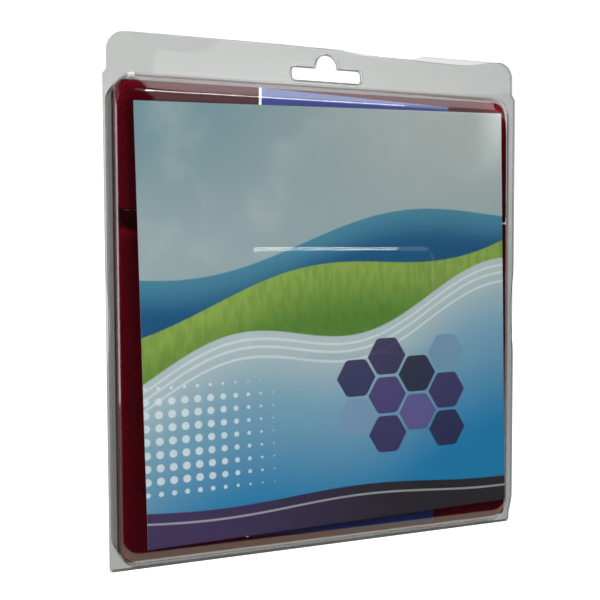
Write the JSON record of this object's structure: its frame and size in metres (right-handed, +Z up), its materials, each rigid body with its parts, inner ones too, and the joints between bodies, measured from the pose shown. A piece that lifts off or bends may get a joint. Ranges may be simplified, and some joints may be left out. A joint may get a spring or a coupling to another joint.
{
  "type": "insulin cooling wallet in a clamshell pack",
  "caption": "Fabric cooling wallet with a crystal pouch, in a clear hinged clamshell with a hang slot, a printed card and a folded leaflet.",
  "frame": {"origin": "on the floor, under the middle of the closed pack", "axes": "+X to the right seen from the front, +Y to the back, +Z up towards the hang slot"},
  "size_m": [0.182, 0.0246, 0.2056],
  "materials": {
    "clear_pet": "clear formed sheet",
    "card_print": "satin print",
    "leaflet_print": "matt print",
    "cover_cloth": "woven burgundy cloth",
    "binding_cloth": "burgundy binding tape",
    "closure_tape": "hook and loop tape",
    "pouch_cloth": "quilted dark cloth",
    "lining_cloth": "plain woven lining",
    "crystals": "dry cooling crystals"
  },
  "bodies": {
    "pack": {"rear_shell": "clear_pet", "living_hinge": "clear_pet", "cover_back_panel": "cover_cloth", "cover_front_panel": "cover_cloth", "cover_binding_left": "binding_cloth", "cover_binding_right": "binding_cloth", "mouth_binding": "binding_cloth", "loop_strip": "closure_tape", "pouch_front_panel": "pouch_cloth", "pouch_back_panel": "pouch_cloth", "pouch_binding": "pouch_cloth", "pouch_lining_front": "lining_cloth", "pouch_lining_back": "lining_cloth", "crystal_fill_front_1": "crystals", "crystal_fill_front_2": "crystals", "crystal_fill_front_3": "crystals", "crystal_fill_front_4": "crystals", "crystal_fill_back_1": "crystals", "crystal_fill_back_2": "crystals", "crystal_fill_back_3": "crystals", "crystal_fill_back_4": "crystals"},
    "lid": {"front_shell": "clear_pet", "front_card": "card_print", "instruction_leaflet": "leaflet_print"},
    "flap": {"cover_flap": "cover_cloth", "flap_binding": "binding_cloth", "hook_strip": "closure_tape"}
  },
  "joints": [
    {"name": "lid_hinge", "type": "hinge", "parent": "pack", "child": "lid", "pos_m": [0, -0.00912, 0.0004], "axis": [1, 0, 0], "range_deg": [0, 175]},
    {"name": "flap_crease", "type": "hinge", "parent": "pack", "child": "flap", "pos_m": [0, -0.00923, 0.18385], "axis": [-1, 0, 0], "range_deg": [0, 150]}
  ],
  "couplings": [
    {"joint": "flap_crease", "follows": "lid_hinge", "ratio": 0.857}
  ]
}
